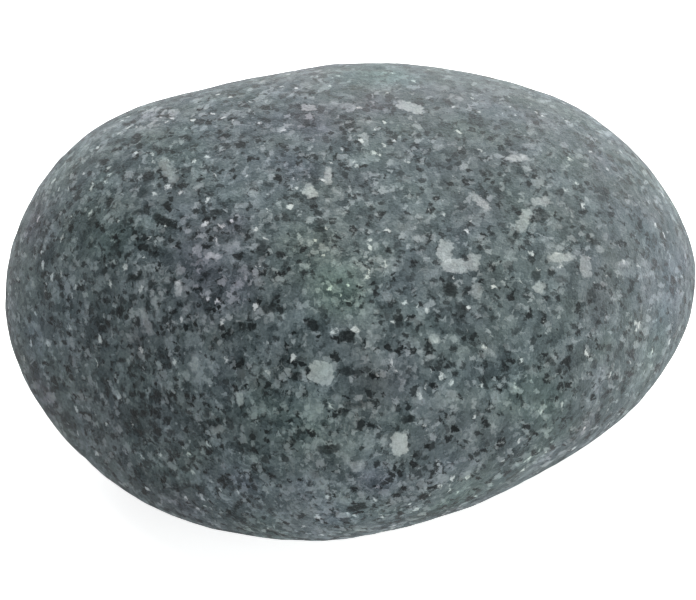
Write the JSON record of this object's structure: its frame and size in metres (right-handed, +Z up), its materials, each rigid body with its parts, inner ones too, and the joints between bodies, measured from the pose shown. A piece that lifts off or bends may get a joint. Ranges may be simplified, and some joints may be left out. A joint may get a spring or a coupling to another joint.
{
  "type": "river pebble",
  "caption": "Smooth, water-worn, longish pebble of dark grey-green crystalline rock, a little flattened, lying on its broad side.",
  "frame": {"origin": "under the middle of the stone, on the surface that it rests on", "axes": "+X along the stone's length, towards its blunter end; +Z up, through its thickness"},
  "size_m": [0.076, 0.0612, 0.0411],
  "materials": {
    "stone": "dry, matt, finely rough, with dark and pale mineral grains"
  },
  "bodies": {
    "root": {"pebble": "stone"}
  },
  "joints": []
}
